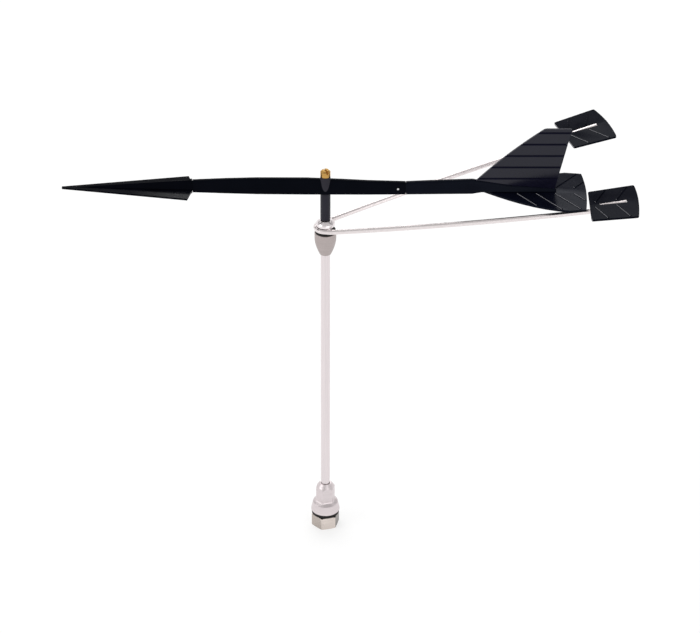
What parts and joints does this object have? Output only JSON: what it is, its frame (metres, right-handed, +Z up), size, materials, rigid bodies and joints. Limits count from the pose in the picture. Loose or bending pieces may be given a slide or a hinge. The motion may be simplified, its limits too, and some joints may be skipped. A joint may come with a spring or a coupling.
{
  "type": "masthead wind indicator",
  "caption": "Masthead wind vane: black arrow boom with tail fin and wing turning on a needle pivot above clamped V-shaped reference arms with tabs, on a slim metal mast with a nut base.",
  "frame": {"origin": "centre of the base's underside, on the mast axis, where the stud's end and the base nut's underside lie flush", "axes": "+Z up the mast, +X along the boom from pointer to tail, +Y to the starboard side"},
  "size_m": [0.4153, 0.1557, 0.3515],
  "materials": {
    "nickel": "nickel plated, lightly brushed",
    "black_rubber": "matt black rubber",
    "ferrule_metal": "bright plated",
    "anodised_rod": "satin anodised",
    "satin_metal": "satin, bead blasted",
    "polished_metal": "polished",
    "needle_steel": "ground stainless steel",
    "wire_metal": "drawn stainless wire",
    "tab_plastic": "semi-gloss black moulding",
    "black_plastic": "gloss black moulding",
    "tube_plastic": "charcoal moulding",
    "brass": "turned brass",
    "jewel": "polished synthetic jewel",
    "white_bush": "white low-friction plastic"
  },
  "bodies": {
    "mast": {"base_nut": "nickel", "base_gasket": "black_rubber", "base_ferrule": "ferrule_metal", "rod_seal": "black_rubber", "mast_rod": "anodised_rod", "hub_cup": "satin_metal", "clamp_washer": "black_rubber", "clamp_screw": "polished_metal", "pivot_needle": "needle_steel", "retaining_ring": "needle_steel"},
    "arms": {"arm_wire": "wire_metal", "port_tab": "tab_plastic", "starboard_tab": "tab_plastic"},
    "vane": {"boom": "black_plastic", "pointer": "black_plastic", "nose_weight": "brass", "tail_spine": "black_plastic", "tail_pin": "needle_steel", "tail_fin": "black_plastic", "tail_wing": "black_plastic", "spindle_tube": "tube_plastic", "bearing_screw": "brass", "jewel_cup": "jewel", "guide_bush": "white_bush"}
  },
  "joints": [
    {"name": "vane_turn", "type": "hinge", "parent": "mast", "child": "vane", "pos_m": [0, 0, 0.3041], "axis": [0, 0, 1], "continuous": true},
    {"name": "arms_swivel", "type": "hinge", "parent": "mast", "child": "arms", "pos_m": [0, 0, 0.2696], "axis": [0, 0, 1], "continuous": true}
  ]
}
